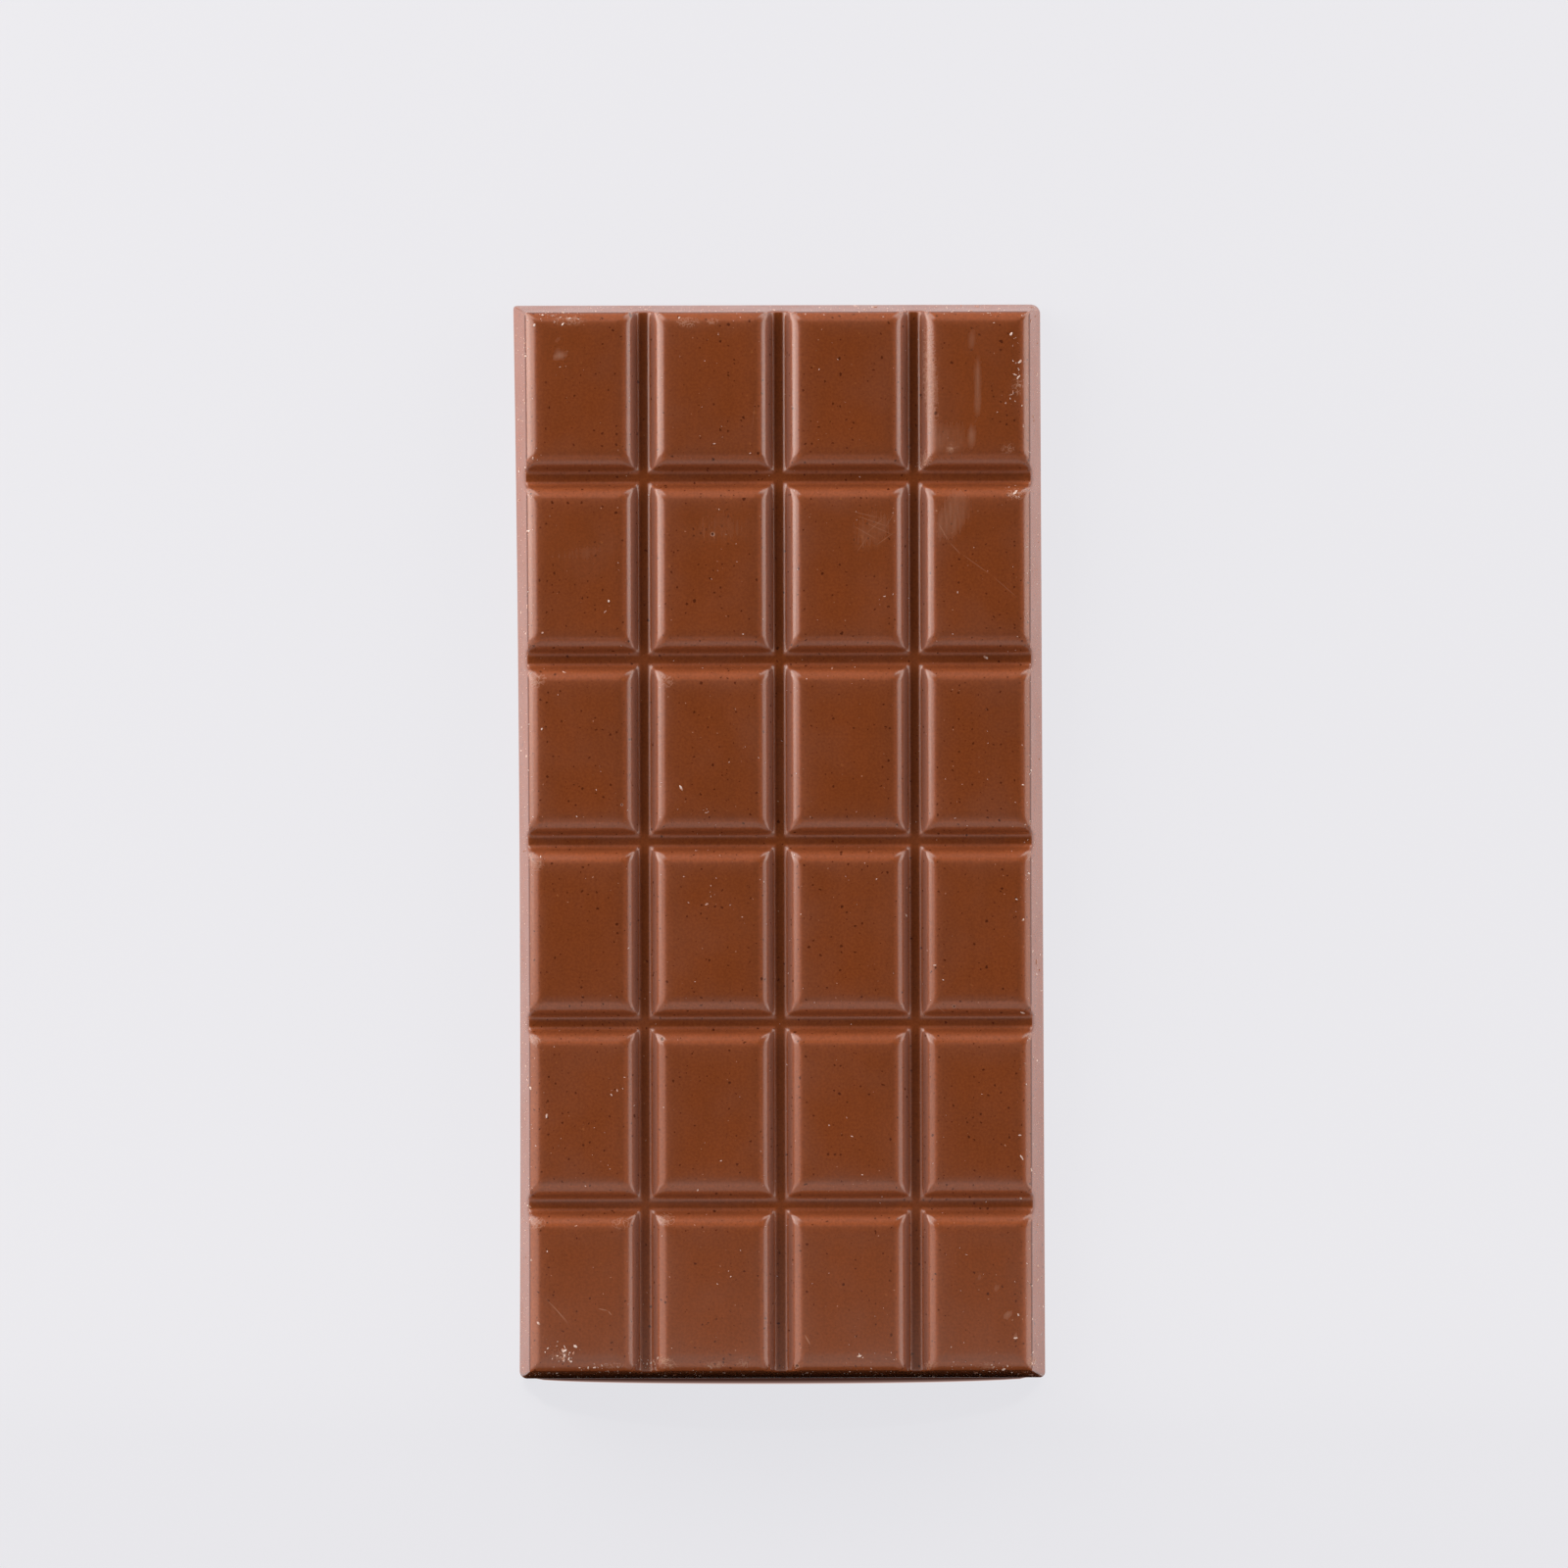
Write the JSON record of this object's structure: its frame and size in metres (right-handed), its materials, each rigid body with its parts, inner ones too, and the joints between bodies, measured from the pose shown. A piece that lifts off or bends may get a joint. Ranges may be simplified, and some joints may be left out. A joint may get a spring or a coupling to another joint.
{
  "type": "chocolate bar",
  "caption": "Flat moulded milk chocolate bar, scored by straight grooves into rounded rectangular pips, with drafted sides and a plain flat back.",
  "frame": {"origin": "middle of the flat back, on the surface that the bar lies on", "axes": "+Z out of the moulded face, +Y along the long side towards the end that stood uppermost, +X across the bar"},
  "size_m": [0.0756, 0.1558, 0.008],
  "materials": {
    "milk_chocolate": "satin moulded milk chocolate with fine dark specks, pale crumbs and light scuffs"
  },
  "bodies": {
    "root": {"chocolate_bar": "milk_chocolate"}
  },
  "joints": []
}
